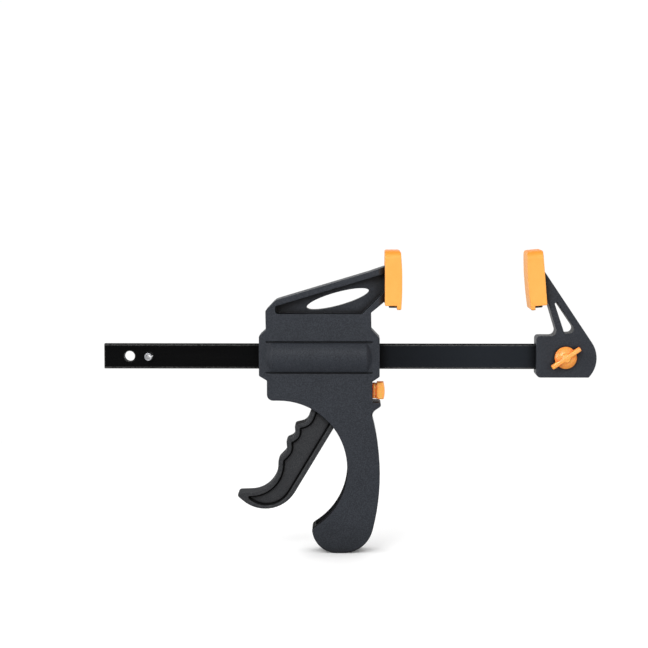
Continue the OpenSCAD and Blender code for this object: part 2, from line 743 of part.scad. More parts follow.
module brake_spring() {
    face = brake_x - plate_t / 2 + (brake_z - brake_spring_z) * tan(brake_tilt);
    color(steel_bright) translate([head_x + part_end + gap, 0, brake_spring_z])
        coil((brake_spring_d - brake_wire) / 2, brake_wire, face - part_end - 3 * gap, 3);
}

module release_button() {
    crown_r = 2 * button_h;
    inner_x = brake_x - 0.7 * plate_t;
    cap_z = (button_top + button_foot) / 2;
    color(orange_hard) translate([head_x, 0, 0]) difference() {
        union() {
            intersection() {
                block(cap_x, cap_x + cap_t, -button_w / 2, button_w / 2, button_foot, button_top);
                post(cap_x + cap_t - crown_r, cap_z, 2 * crown_r, -button_w, button_w);
            }
            block(inner_x, cap_x + gap, -neck_half_w, neck_half_w, neck_foot, neck_top);
            block(body_r + gap, cap_x - 3 * gap, -neck_half_w - gap, neck_half_w + gap, neck_foot,
                neck_top + gap);
        }
        at_brake(brake_tilt) block(brake_x - plate_t / 2 - run, brake_x + plate_t / 2 + run,
            -tail_w / 2 - run, tail_w / 2 + run, -brake_foot - run, 0);
    }
}

bar();
stop_pin();
fixed_jaw();
jaw_nut();
fixed_pad();
knob_washer();
wing_knob();
knob_stud();
near_shell();
far_shell();
shell_screws();
moving_pad();
trigger_pin();
trigger();
drive_plate_front();
drive_plate_rear();
spring_seat();
drive_spring();
brake_plate();
brake_spring();
release_button();
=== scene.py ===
"""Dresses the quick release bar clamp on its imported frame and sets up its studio.

Lengths are millimetres, which become metres where a mesh is made. The studio's lengths are
metres, apart from those whose names end in mm.
"""
import logging
import math
from dataclasses import dataclass
from enum import Enum
from typing import Optional, Sequence, Union

import bmesh
import bpy
from mathutils import Matrix, Vector


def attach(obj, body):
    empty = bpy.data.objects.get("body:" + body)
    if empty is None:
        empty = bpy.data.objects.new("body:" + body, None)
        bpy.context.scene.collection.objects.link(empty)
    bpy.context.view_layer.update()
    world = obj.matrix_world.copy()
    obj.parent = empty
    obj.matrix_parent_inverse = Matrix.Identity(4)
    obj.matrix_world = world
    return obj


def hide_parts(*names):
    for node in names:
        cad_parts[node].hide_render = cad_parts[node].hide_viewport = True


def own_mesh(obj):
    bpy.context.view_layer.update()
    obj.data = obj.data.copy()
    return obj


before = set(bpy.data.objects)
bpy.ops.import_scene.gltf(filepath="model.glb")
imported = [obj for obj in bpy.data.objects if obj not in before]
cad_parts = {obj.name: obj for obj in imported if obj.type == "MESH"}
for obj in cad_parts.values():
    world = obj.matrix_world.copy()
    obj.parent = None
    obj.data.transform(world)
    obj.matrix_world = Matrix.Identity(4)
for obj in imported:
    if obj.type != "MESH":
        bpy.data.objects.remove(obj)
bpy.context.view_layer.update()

MM = 0.001
log = logging.getLogger("clamp")

Colour = tuple[float, float, float]
Point = tuple[float, float, float]
Span = tuple[float, float]
Ring = list[Point]
Socket = bpy.types.NodeSocket


class Grain(Enum):
    """Kinds of fine surface grain."""

    SPARKED = "sparked"
    SILKY = "silky"
    DRAWN = "drawn"
    PLATED = "plated"


class Faces(Enum):
    """Faces that the painted shade's deeper colour goes on."""

    UP = "up"
    NARROW = "narrow"


class Nodes:
    """Adds nodes to a node tree and joins them."""

    def __init__(self, tree: bpy.types.NodeTree) -> None:
        """Takes the tree that it works on."""
        self.tree = tree

    def find(self, kind: str) -> bpy.types.Node:
        """Finds the tree's first node of a type."""
        return next(node for node in self.tree.nodes if node.type == kind)

    def give(self, socket: Socket, value: object) -> None:
        """Gives a socket its value.

        Args:
            socket: the socket that takes it.
            value: another socket, which is linked, or a constant.
        """
        if isinstance(value, Socket):
            self.tree.links.new(value, socket)
        else:
            socket.default_value = value

    def add(self, kind: str, *firsts: object, **others: object) -> bpy.types.Node:
        """Adds a node.

        Args:
            kind: Blender's name of the node type.
            firsts: what its first sockets take, in their order.
            others: node properties, or what a socket takes, when the name is the socket's with
                _ for a space.

        Returns:
            The new node.
        """
        node = self.tree.nodes.new(kind)
        for name, value in others.items():
            socket = next((one for one in node.inputs if one.name.replace(" ", "_") == name), None)
            if socket is None:
                setattr(node, name, value)
            else:
                self.give(socket, value)
        for socket, value in zip(node.inputs, firsts):
            self.give(socket, value)
        return node

    def spread(self, value: Socket, low: float, high: float, to_low: Union[float, Socket],
               to_high: Union[float, Socket]) -> Socket:
        """Maps a value from one range to another and clamps it.

        Args:
            value: the socket to read.
            low: start of the range read.
            high: end of the range read.
            to_low: result at the start.
            to_high: result at the end.

        Returns:
            The mapped socket.
        """
        node = self.add("ShaderNodeMapRange", Value=value, From_Min=low, From_Max=high,
                        To_Min=to_low, To_Max=to_high)
        return node.outputs["Result"]

    def mask(self, value: Socket, span: Span, top: float = 1.0) -> Socket:
        """Rises from 0 at a span's first end to the top at its second."""
        return self.spread(value, *span, 0.0, top)

    def times(self, first: Socket, second: Socket) -> Socket:
        """Multiplies two values."""
        return self.add("ShaderNodeMath", first, second, operation="MULTIPLY").outputs[0]

    def plus(self, first: Socket, second: Socket) -> Socket:
        """Adds two values, up to 1."""
        node = self.add("ShaderNodeMath", first, second, operation="ADD", use_clamp=True)
        return node.outputs[0]

    def larger(self, first: Socket, second: Socket) -> Socket:
        """Takes the larger of two values."""
        return self.add("ShaderNodeMath", first, second, operation="MAXIMUM").outputs[0]

    def size(self, value: Socket) -> Socket:
        """Takes a value's size without its sign."""
        return self.add("ShaderNodeMath", value, operation="ABSOLUTE").outputs[0]

    def length(self, vector: Socket) -> Socket:
        """Takes a vector's length."""
        return self.add("ShaderNodeVectorMath", vector, operation="LENGTH").outputs["Value"]

    def parts(self, vector: Socket) -> bpy.types.bpy_prop_collection:
        """Splits a vector into its X, Y and Z."""
        return self.add("ShaderNodeSeparateXYZ", vector).outputs

    def noise(self, place: Socket, cell_mm: float, detail: float, roughness: float) -> Socket:
        """Makes a noise.

        Args:
            place: the coordinates that it is read at.
            cell_mm: size of its coarsest spots.
            detail: how many finer layers it has.
            roughness: how much the finer layers count.

        Returns:
            The noise's value.
        """
        node = self.add("ShaderNodeTexNoise", Vector=place, Scale=1 / (cell_mm * MM),
                        Detail=detail, Roughness=roughness)
        return node.outputs[0]

    def openness(self, shade_distance_mm: float) -> Socket:
        """Finds how open a surface is to what stands within a reach of it."""
        node = self.add("ShaderNodeAmbientOcclusion", samples=8, Distance=shade_distance_mm * MM)
        return node.outputs["AO"]

    def blend(self, share: Socket, first: Union[Colour, Socket],
              second: Union[Colour, Socket]) -> Socket:
        """Mixes two colours.

        Args:
            share: share of the second colour.
            first: a colour or a socket.
            second: a colour or a socket.

        Returns:
            The mixed colour socket.
        """
        node = self.add("ShaderNodeMix", share, data_type="RGBA")
        for socket, value in ((node.inputs[6], first), (node.inputs[7], second)):
            self.give(socket, value if isinstance(value, Socket) else (*value, 1.0))
        return node.outputs[2]


class Shader(Nodes):
    """Builds the node tree of one material."""

    def __init__(self, name: str) -> None:
        """Starts a material and reads what its colours are worked out from.

        Args:
            name: name of the material.
        """
        self.material = bpy.data.materials.new(name)
        self.material.use_nodes = True
        super().__init__(self.material.node_tree)
        self.bsdf = self.find("BSDF_PRINCIPLED")
        self.place = self.add("ShaderNodeTexCoord").outputs["Object"]
        self.normal = self.add("ShaderNodeNewGeometry").outputs["Normal"]
        self.facing = self.parts(self.normal)

    def set(self, **values: object) -> None:
        """Gives the Principled shader's sockets their values, named with _ for a space."""
        for name, value in values.items():
            self.give(self.bsdf.inputs[name.replace("_", " ")], value)


@dataclass(frozen=True)
class ThroatShade:
    """Painted shade round a throat whose axis runs along Y, laid as a dark colour.

    It covers what lies within the radius, and what faces up and left, below a height.
    """

    x: float
    z: float
    radius: float
    top_z: float
    soft: Span = (0.35, 0.15)
    soft_height: float = 3.0
    facing_up: Span = (-0.05, 0.15)
    facing_left: Span = (0.0, -0.15)

    def mask(self, shader: Shader) -> Socket:
        """Finds the surfaces under the painted shade.

        Args:
            shader: the material being built.

        Returns:
            A socket that is 1 under the painted shade and 0 elsewhere.
        """
        outer, inner = (self.radius + margin for margin in self.soft)
        middle = (self.x * MM, 0, self.z * MM)
        away = shader.add("ShaderNodeVectorMath", shader.place, middle, operation="SUBTRACT")
        across = shader.add("ShaderNodeVectorMath", away.outputs[0], (1, 0, 1),
                            operation="MULTIPLY")
        near = shader.mask(shader.length(across.outputs[0]), (outer * MM, inner * MM))
        toe = shader.times(shader.mask(shader.facing["Z"], self.facing_up),
                           shader.mask(shader.facing["X"], self.facing_left))
        below = shader.mask(shader.parts(shader.place)["Z"],
                            ((self.top_z + self.soft_height) * MM,
                             (self.top_z - self.soft_height) * MM))
        return shader.times(shader.larger(near, toe), below)


@dataclass(frozen=True)
class PaintedReflection:
    """A painted reflection: a lighter, bluer colour on the broad faces, which comes in along X."""

    colour: Colour
    along_x: Span
    facing_side: Span = (0.6, 0.9)

    def mask(self, shader: Shader) -> Socket:
        """Finds how far the painted reflection covers the surface.

        Args:
            shader: the material being built.

        Returns:
            A socket that is 1 under the full painted reflection and 0 off it.
        """
        start, end = self.along_x
        coming = shader.mask(shader.parts(shader.place)["X"], (start * MM, end * MM))
        broad = shader.mask(shader.size(shader.facing["Y"]), self.facing_side)
        return shader.times(coming, broad)


@dataclass(frozen=True)
class PaintedFaceShade:
    """Painted shade: a deeper colour laid on a piece's upper or its narrow faces, for how light
    falls on them.
    """

    colour: Colour
    faces: Faces
    facing_up: Span = (0.25, 0.75)
    facing_side: Span = (0.97, 0.60)

    def mask(self, shader: Shader) -> Socket:
        """Finds the faces under the painted shade.

        Args:
            shader: the material being built.

        Returns:
            A socket that is 1 on them and 0 elsewhere.
        """
        if self.faces is Faces.UP:
            return shader.mask(shader.facing["Z"], self.facing_up)
        return shader.mask(shader.size(shader.facing["Y"]), self.facing_side)


@dataclass(frozen=True)
class Finish:
    """A procedural finish: mottled and speckled colour, fine grain, edges coloured partly by wear
    and partly as painted light, and painted shade in hollows.

    A span holds the two values of a noise, a normal or an openness between which an effect
    comes in.
    """

    name: str
    colour: Colour
    mottle: Colour
    edge: Colour
    # colour of the painted shade in hollows and cavities, and of the dark specks
    dark_shade_and_speck: Colour
    grain: Grain
    roughness: float
    grain_mm: float
    bump: float
    metallic: float = 0.0
    specular: float = 0.5
    coat: float = 0.0
    coat_roughness: float = 0.25
    edge_mm: float = 0.5
    edge_share: float = 0.5
    edge_bend: Span = (0.995, 0.86)
    edge_facing_side: Span = (0.70, 0.92)
    edge_patch_mm: float = 1000 / 420
    edge_patch: Span = (0.35, 0.6)
    edge_patch_least: float = 0.35
    mottle_mm: float = 14.0
    mottle_band: Span = (0.35, 0.65)
    drawn_stretch: Point = (0.015, 1.0, 1.0)
    grain_band: Span = (0.3, 0.7)
    grain_swing: float = 0.09
    silky_swing: float = 0.05
    grain_depth_share: float = 0.25
    sparkle_cells: float = 0.6
    sparkle_reach: float = 0.5
    sparkle_share: float = 0.16
    speckle: float = 0.0
    speckle_mm: float = 0.7
    light_specks: Span = (0.42, 0.7)
    dark_specks: Span = (0.55, 0.3)
    shade_distance_mm: float = 3.0
    shade_open_span: Span = (0.35, 0.92)
    deep_shade_mm: float = 0.0
    deep_shade_open_span: Span = (0.40, 0.62)
    glow: float = 0.0
    glow_mm: float = 2.5
    glow_reach: Colour = (1.0, 0.30, 0.06)
    top_roughness: float = 0.0
    top_facing: Span = (0.3, 0.8)
    face_shade: Optional[PaintedFaceShade] = None
    painted_reflection: Optional[PaintedReflection] = None
    throat_shade: Optional[ThroatShade] = None

    def build(self) -> bpy.types.Material:
        """Makes the material.

        Returns:
            The material, ready to assign.
        """
        shader = Shader(self.name)
        stretch = self.drawn_stretch if self.grain is Grain.DRAWN else (1.0, 1.0, 1.0)
        drawn = shader.add("ShaderNodeMapping", Vector=shader.place, Scale=stretch).outputs[0]
        fine = shader.noise(drawn, self.grain_mm, detail=3.0, roughness=0.55)
        soft = shader.add("ShaderNodeBevel", samples=4, Radius=self.edge_mm * MM).outputs[0]
        # painted shade over the handle's throat
        throat_shaded = self.throat_shade.mask(shader) if self.throat_shade else None
        colour = self._specked(shader, self._tinted(shader, drawn))
        # edge colour: partly wear, partly painted light on the rounded edges
        colour = shader.blend(self._edges_of_wear_and_highlight(shader, soft), colour, self.edge)
        relief = shader.add("ShaderNodeBump", Strength=self.bump, Height=fine, Normal=soft,
                            Distance=self.grain_depth_share * self.grain_mm * MM)
        shader.set(Base_Color=self._darkened(shader, colour, throat_shaded),
                   Roughness=self._gloss(shader, fine, throat_shaded), Normal=relief.outputs[0],
                   Metallic=self.metallic, Specular_IOR_Level=self.specular,
                   Coat_Weight=self.coat, Coat_Roughness=self.coat_roughness,
                   Subsurface_Weight=self.glow, Subsurface_Radius=self.glow_reach,
                   Subsurface_Scale=self.glow_mm * MM)
        return shader.material

    def _tinted(self, shader: Shader, drawn: Socket) -> Socket:
        """Mixes the two main colours and lays the painted reflection or the painted shade of upper
        or narrow faces over them.

        Args:
            shader: the material being built.
            drawn: coordinates stretched along the grain.

        Returns:
            The colour so far.
        """
        broad = shader.noise(drawn, self.mottle_mm, detail=5.0, roughness=0.6)
        colour = shader.blend(shader.mask(broad, self.mottle_band), self.colour, self.mottle)
        for layer in (self.painted_reflection, self.face_shade):
            if layer:
                colour = shader.blend(layer.mask(shader), colour, layer.colour)
        return colour

    def _specked(self, shader: Shader, colour: Socket) -> Socket:
        """Adds the grain's sparkle and the light and dark specks.

        Args:
            shader: the material being built.
            colour: the colour so far.

        Returns:
            The colour with its specks.
        """
        if self.grain in (Grain.SPARKED, Grain.PLATED):
            spot = shader.add("ShaderNodeTexVoronoi", Vector=shader.place,
                              Scale=self.sparkle_cells / (self.grain_mm * MM)).outputs[0]
            sparkle = shader.spread(spot, 0.0, self.sparkle_reach, self.sparkle_share, 0.0)
            colour = shader.blend(sparkle, colour, self.edge)
        if self.speckle:
            dust = shader.noise(shader.place, self.speckle_mm, detail=1.0, roughness=0.5)
            for speck, span in ((self.edge, self.light_specks), (self.dark_shade_and_speck, self.dark_specks)):
                colour = shader.blend(shader.mask(dust, span, self.speckle), colour, speck)
        return colour

    def _edges_of_wear_and_highlight(self, shader: Shader, soft: Socket) -> Socket:
        """Finds the edges, broken up by a noise; their colour stands partly for wear and partly
        for painted light on the rounded edges.

        Args:
            shader: the material being built.
            soft: normals rounded over the edges.

        Returns:
            A socket from 0 on flats to edge_share on edges.
        """
        bend = shader.add("ShaderNodeVectorMath", soft, shader.normal, operation="DOT_PRODUCT")
        edge = shader.mask(bend.outputs["Value"], self.edge_bend, self.edge_share)
        patch = shader.noise(shader.place, self.edge_patch_mm, detail=4.0, roughness=0.5)
        wear_plus_highlight = shader.times(edge, shader.spread(patch, *self.edge_patch, self.edge_patch_least,
                                                1.0))
        if self.grain is not Grain.DRAWN:
            return wear_plus_highlight
        side = shader.mask(shader.size(shader.facing["Y"]), self.edge_facing_side)
        return shader.times(wear_plus_highlight, side)

    def _darkened(self, shader: Shader, colour: Socket, throat_shaded: Optional[Socket]) -> Socket:
        """Paints shade into small hollows and deep cavities, and lays the throat's painted shade.

        Args:
            shader: the material being built.
            colour: the colour so far.
            throat_shaded: a socket that is 1 under the throat's painted shade.

        Returns:
            The final colour.
        """
        # painted shade: the colour goes toward the shade colour where little is open round the
        # surface
        for reach, span in ((self.shade_distance_mm, self.shade_open_span), (self.deep_shade_mm, self.deep_shade_open_span)):
            if reach:
                clear = shader.mask(shader.openness(reach), span)
                colour = shader.blend(clear, self.dark_shade_and_speck, colour)
        # lays the throat's painted shade
        return shader.blend(throat_shaded, colour, self.dark_shade_and_speck) if throat_shaded else colour

    def _gloss(self, shader: Shader, fine: Socket, throat_shaded: Optional[Socket]) -> Socket:
        """Varies the roughness with the grain, and dulls the throat's painted shade and what faces
        up or down.

        Args:
            shader: the material being built.
            fine: the grain's noise.
            throat_shaded: a socket that is 1 under the throat's painted shade.

        Returns:
            The roughness.
        """
        swing = self.silky_swing if self.grain is Grain.SILKY else self.grain_swing
        rough = shader.spread(fine, *self.grain_band, self.roughness - swing,
                              self.roughness + swing)
        if self.top_roughness:
            steep = shader.size(shader.facing["Z"])
            rough = shader.plus(rough, shader.mask(steep, self.top_facing, self.top_roughness))
        return shader.plus(rough, throat_shaded) if throat_shaded else rough


HOUSING = Finish(
    "housing_nylon", grain=Grain.SPARKED, roughness=0.50, grain_mm=0.42, bump=0.7,
    colour=(0.0214, 0.0251, 0.0332), mottle=(0.0188, 0.0221, 0.0294),
    edge=(0.062, 0.068, 0.080), dark_shade_and_speck=(0.0025, 0.0028, 0.0035),
    specular=0.26, edge_share=0.4, speckle=0.26, shade_distance_mm=4.5, deep_shade_mm=60.0,
    # painted shade over the handle's throat channel
    throat_shade=ThroatShade(x=100.15, z=-74.4, radius=45.5, top_z=-72.0))
TRIGGER = Finish(
    "trigger_nylon", grain=Grain.SPARKED, roughness=0.52, grain_mm=0.5, bump=0.5,
    colour=(0.0235, 0.0245, 0.0280), mottle=(0.0205, 0.0215, 0.0246),
    edge=(0.095, 0.098, 0.100), dark_shade_and_speck=(0.0012, 0.0012, 0.0014),
    specular=0.27, edge_mm=1.1, edge_share=0.55, speckle=0.2, shade_distance_mm=4.0, deep_shade_mm=60.0,
    top_roughness=0.45)
BLACK_STEEL = Finish(
    "blackened_steel", grain=Grain.DRAWN, roughness=0.36, grain_mm=0.3, bump=0.25,
    colour=(0.0008, 0.0008, 0.0009), mottle=(0.0013, 0.0014, 0.0016),
    edge=(0.110, 0.110, 0.107), dark_shade_and_speck=(0.0006, 0.0006, 0.0007),
    specular=0.05, coat=0.03, coat_roughness=0.12, edge_mm=0.7, edge_share=0.9,
    # edge_bend paints highlight lines where the bar's rounded edges meet its flats
    edge_bend=(0.9994, 0.995), shade_distance_mm=9.0, top_roughness=0.6,
    # painted reflection: the bar turns lighter and bluer toward the jaw
    painted_reflection=PaintedReflection((0.0145, 0.0172, 0.0215), along_x=(125.0, 235.0)))
ZINC = Finish(
    "zinc_plate", grain=Grain.PLATED, roughness=0.30, grain_mm=0.35, bump=0.25,
    colour=(0.60, 0.61, 0.63), mottle=(0.52, 0.53, 0.56),
    edge=(0.75, 0.75, 0.76), dark_shade_and_speck=(0.10, 0.10, 0.11), metallic=1.0, edge_mm=0.3)
SPRING_WIRE = Finish(
    "spring_wire", grain=Grain.SILKY, roughness=0.26, grain_mm=0.3, bump=0.2,
    colour=(0.50, 0.51, 0.53), mottle=(0.42, 0.43, 0.45),
    edge=(0.66, 0.66, 0.67), dark_shade_and_speck=(0.10, 0.10, 0.11), metallic=1.0, edge_mm=0.2)
SOFT_ORANGE = Finish(
    "soft_orange_rubber", grain=Grain.SILKY, roughness=0.48, grain_mm=0.5, bump=0.2,
    colour=(1.0, 0.438, 0.084), mottle=(1.0, 0.410, 0.072),
    edge=(1.0, 0.40, 0.075), dark_shade_and_speck=(0.80, 0.16, 0.016),
    specular=0.32, edge_mm=0.9, edge_share=0.45, speckle=0.05,
    # painted shade: deeper orange on the pad's upper faces
    face_shade=PaintedFaceShade((1.0, 0.300, 0.022), Faces.UP))
HARD_ORANGE = Finish(
    "hard_orange_acetal", grain=Grain.SILKY, roughness=0.30, grain_mm=0.6, bump=0.03,
    colour=(1.0, 0.450, 0.083), mottle=(1.0, 0.415, 0.069),
    edge=(1.0, 0.52, 0.15), dark_shade_and_speck=(1.0, 0.19, 0.016),
    specular=0.8, edge_mm=0.4, glow=0.45, top_roughness=0.6,
    # painted shade: deeper orange on faces turned away from the front
    face_shade=PaintedFaceShade((1.0, 0.275, 0.026), Faces.NARROW))
FINISHES = (HOUSING, TRIGGER, BLACK_STEEL, ZINC, SPRING_WIRE, SOFT_ORANGE, HARD_ORANGE)


@dataclass
class Bench:
    """Materials made once, and the ways in which pieces take them."""

    merge: float = 0.002
    edge_steps: int = 3
    sharp_deg: float = 32.0
    flat_weight: int = 90

    def __post_init__(self) -> None:
        """Makes every finish's material."""
        self.materials = {finish.name: finish.build() for finish in FINISHES}

    def dress(self, node: str, finish: Finish, edge: float) -> None:
        """Gives a carried-over node its finish and small rounded edges.

        Args:
            node: name of the node.
            finish: what it is dressed in.
            edge: width of the rounding of its edges.
        """
        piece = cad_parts[node]
        for slot in piece.material_slots:
            slot.material = self.materials[finish.name]
        merge = piece.modifiers.new("merge_points", "WELD")
        merge.merge_threshold = self.merge * MM
        rounding = piece.modifiers.new("rounded_edges", "BEVEL")
        rounding.width = edge * MM
        rounding.segments = self.edge_steps
        rounding.limit_method = "ANGLE"
        rounding.angle_limit = math.radians(self.sharp_deg)
        rounding.use_clamp_overlap = False
        rounding.loop_slide = False
        normals = piece.modifiers.new("face_normals", "WEIGHTED_NORMAL")
        normals.weight = self.flat_weight
        normals.keep_sharp = True
        log.info("%s: dressed in %s", node, finish.name)

    def piece(self, name: str, mesh: bpy.types.Mesh, finish: Finish, body: str, slot: str,
              node: str) -> bpy.types.Object:
        """Places a new piece on its body, in place of a node.

        Args:
            name: name of the piece.
            mesh: its mesh, in metres in the row frame.
            finish: what it is dressed in.
            body: the body that carries it.
            slot: the record's material slot; not used.
            node: the node that it stands for.

        Returns:
            The new object.
        """
        obj = bpy.data.objects.new(name, mesh)
        bpy.context.scene.collection.objects.link(obj)
        mesh.materials.clear()
        mesh.materials.append(self.materials[finish.name])
        mesh.shade_smooth()
        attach(obj, body)
        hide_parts(node)
        log.info("%s: %d faces on %s", name, len(mesh.polygons), body)
        return obj


def loft(rings: Sequence[Ring]) -> bmesh.types.BMesh:
    """Skins rings of equal length and caps both ends.

    Args:
        rings: rings of points in millimetres, in order.

    Returns:
        A mesh in metres.
    """
    bm = bmesh.new()
    rows = [[bm.verts.new(Vector(point) * MM) for point in ring] for ring in rings]
    count = len(rows[0])
    for low, high in zip(rows, rows[1:]):
        for i in range(count):
            after = (i + 1) % count
            bm.faces.new((low[i], low[after], high[after], high[i]))
    bm.faces.new(reversed(rows[0]))
    bm.faces.new(rows[-1])
    bmesh.ops.recalc_face_normals(bm, faces=bm.faces)
    return bm


def to_mesh(bm: bmesh.types.BMesh, name: str) -> bpy.types.Mesh:
    """Writes a bmesh to a new mesh and frees it.

    Args:
        bm: the bmesh.
        name: name of the new mesh.

    Returns:
        The new mesh.
    """
    mesh = bpy.data.meshes.new(name)
    bm.to_mesh(mesh)
    bm.free()
    return mesh


def melt(meshes: Sequence[bpy.types.Mesh], name: str, voxel: float, passes: int,
         keep: float) -> bpy.types.Mesh:
    """Melts closed meshes into one moulded skin with soft inner corners.

    Args:
        meshes: closed meshes that overlap.
        name: name of the new mesh.
        voxel: size of the remesh cells in millimetres.
        passes: smoothing passes.
        keep: share of the faces that is kept.

    Returns:
        The moulded mesh.
    """
    bm = bmesh.new()
    for mesh in meshes:
        bm.from_mesh(mesh)
    obj = bpy.data.objects.new(name, to_mesh(bm, name))
    bpy.context.scene.collection.objects.link(obj)
    cells = obj.modifiers.new("cells", "REMESH")
    cells.mode = "VOXEL"
    cells.voxel_size = voxel * MM
    soft = obj.modifiers.new("soft", "SMOOTH")
    soft.factor = 0.5
    soft.iterations = passes
    fewer = obj.modifiers.new("fewer", "DECIMATE")
    fewer.ratio = keep
    bpy.context.view_layer.update()
    result = bpy.data.meshes.new_from_object(
        obj.evaluated_get(bpy.context.evaluated_depsgraph_get()))
    bpy.data.objects.remove(obj)
    result.name = name
    return result


@dataclass
class CoilSpring:
    """A compression spring along the bar with closed end turns."""

    name: str
    node: str
    start_x: float
    axis_z: float
    length: float
    mean_r: float
    wire: float
    turns: float
    sides: int = 10
    steps: int = 30
    end_turns: float = 0.9
    end_slack: float = 1.03

    def travel(self, turn: float) -> float:
        """Finds the place along the axis of the wire's middle after so many turns.

        Args:
            turn: turns from the fixed end.

        Returns:
            Millimetres from the fixed end.
        """
        end = self.end_turns
        closed = end * self.end_slack * self.wire
        free = self.length - self.wire - 2 * closed
        if turn < end:
            return self.wire / 2 + closed * turn / end
        if turn > self.turns - end:
            return self.length - self.wire / 2 - closed * (self.turns - turn) / end
        return self.wire / 2 + closed + free * (turn - end) / (self.turns - 2 * end)

    def section(self, turn: float) -> Ring:
        """Draws the wire's round section after so many turns.

        Args:
            turn: turns from the fixed end.

        Returns:
            The section's points.
        """
        angle = math.tau * turn
        out = Vector((0, math.cos(angle), math.sin(angle)))
        along = Vector((1, 0, 0))
        middle = Vector((self.start_x + self.travel(turn), 0, self.axis_z)) + out * self.mean_r
        steps = (math.tau * i / self.sides for i in range(self.sides))
        return [tuple(middle + (out * math.cos(step) + along * math.sin(step)) * self.wire / 2)
                for step in steps]

    def build(self, bench: Bench, joint: str, keep: float) -> bpy.types.Object:
        """Winds the wire and places the spring on the head.

        Args:
            bench: the materials.
            joint: the joint that presses it; not used.
            keep: share of its length left at the joint's limit; not used.

        Returns:
            The spring.
        """
        total = round(self.turns * self.steps)
        rings = [self.section(i / self.steps) for i in range(total + 1)]
        mesh = to_mesh(loft(rings), self.name)
        obj = bench.piece(self.name, mesh, SPRING_WIRE, "head", "spring_steel", self.node)
        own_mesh(obj)
        return obj


@dataclass
class WingKnob:
    """The orange wing knob: a domed disc, a wing across it and a round boss.

    A profile's pairs are radius and height, or inset and height where it is the rim's foot.
    The wing's top is pairs of a share of its half width and a depth below its crest.
    """

    x: float = 290.5
    face_y: float = -10.0
    turn: float = 34.6
    disc_r: float = 7.4
    dome_r: float = 9.45
    dome_shares: tuple[float, ...] = (1.0, 0.96, 0.88, 0.75, 0.6, 0.4, 0.2, 0.06)
    rim_h: float = 0.85
    rim_foot: tuple[Span, ...] = ((0.6, 0.0), (0.1, 0.15), (0.0, 0.45))
    boss: tuple[Span, ...] = ((3.1, 0.5), (3.1, 4.4), (2.9, 4.9), (2.3, 5.15), (0.4, 5.25))
    span: float = 22.6
    height: float = 5.45
    wing_w: float = 3.1
    wing_top: tuple[Span, ...] = ((1, 0.7), (0.86, 0.25), (0.45, 0.0))
    wing_foot: float = 0.6
    wing_steps: int = 40
    tip_least: float = 0.2
    tip_drop: float = 0.75
    tip_round: float = 0.35
    tip_lift: float = 1.5
    lift_from: float = 6.4
    lift_run: float = 1.6
    sides: int = 72
    voxel: float = 0.16
    soft_passes: int = 5
    keep_share: float = 0.35

    def lathe(self, profile: Sequence[Span]) -> bpy.types.Mesh:
        """Turns a profile about the knob's axis.

        Args:
            profile: pairs of radius and height.

        Returns:
            The turned mesh.
        """
        turns = [math.tau * i / self.sides for i in range(self.sides)]
        rings = [[(r * math.cos(turn), r * math.sin(turn), h) for turn in turns]
                 for r, h in profile]
        return to_mesh(loft(rings), "turned")

    def disc(self) -> bpy.types.Mesh:
        """Turns the domed disc.

        Returns:
            The disc's mesh.
        """
        r = self.disc_r
        foot = math.sqrt(self.dome_r ** 2 - r ** 2)
        rim = [(r - inset, h) for inset, h in self.rim_foot]
        dome = [(r * share, self.rim_h + math.sqrt(self.dome_r ** 2 - (r * share) ** 2) - foot)
                for share in self.dome_shares]
        return self.lathe(rim + dome)

    def wing(self) -> bpy.types.Mesh:
        """Lofts the wing from tip to tip.

        Returns:
            The wing's mesh.
        """
        half = self.span / 2
        end = self.wing_w / 2
        rings: list[Ring] = []
        for i in range(self.wing_steps + 1):
            along = -half * math.cos(math.pi * i / self.wing_steps)
            tip = max(0.0, (abs(along) - (half - end)) / end)
            side = max(end * max(1 - tip ** 6, 0.0) ** 0.25, self.tip_least)
            lift = max(0.0, min(1.0, (abs(along) - self.lift_from) / self.lift_run))
            under = self.wing_foot + self.tip_lift * lift
            top = self.height - self.tip_drop * (abs(along) / half) ** 2 - self.tip_round * tip
            right = [(share * side, top - depth) for share, depth in self.wing_top]
            left = [(-across, h) for across, h in reversed(right)]
            outline = [(-side, under), (side, under)] + right + left
            rings.append([(along, across, h) for across, h in outline])
        return to_mesh(loft(rings), "wing")

    def build(self, bench: Bench) -> bpy.types.Object:
        """Moulds the knob and places it on the knob's body.

        Args:
            bench: the materials.

        Returns:
            The knob.
        """
        name = "wing_knob_moulding"
        mesh = melt([self.disc(), self.lathe(self.boss), self.wing()], name, self.voxel,
                    self.soft_passes, self.keep_share)
        mesh.transform(Matrix.Translation((self.x * MM, self.face_y * MM, 0))
                       @ Matrix.Rotation(math.radians(90), 4, "X")
                       @ Matrix.Rotation(math.radians(self.turn), 4, "Z"))
        return bench.piece(name, mesh, HARD_ORANGE, "knob", "hard_orange", "wing_knob")


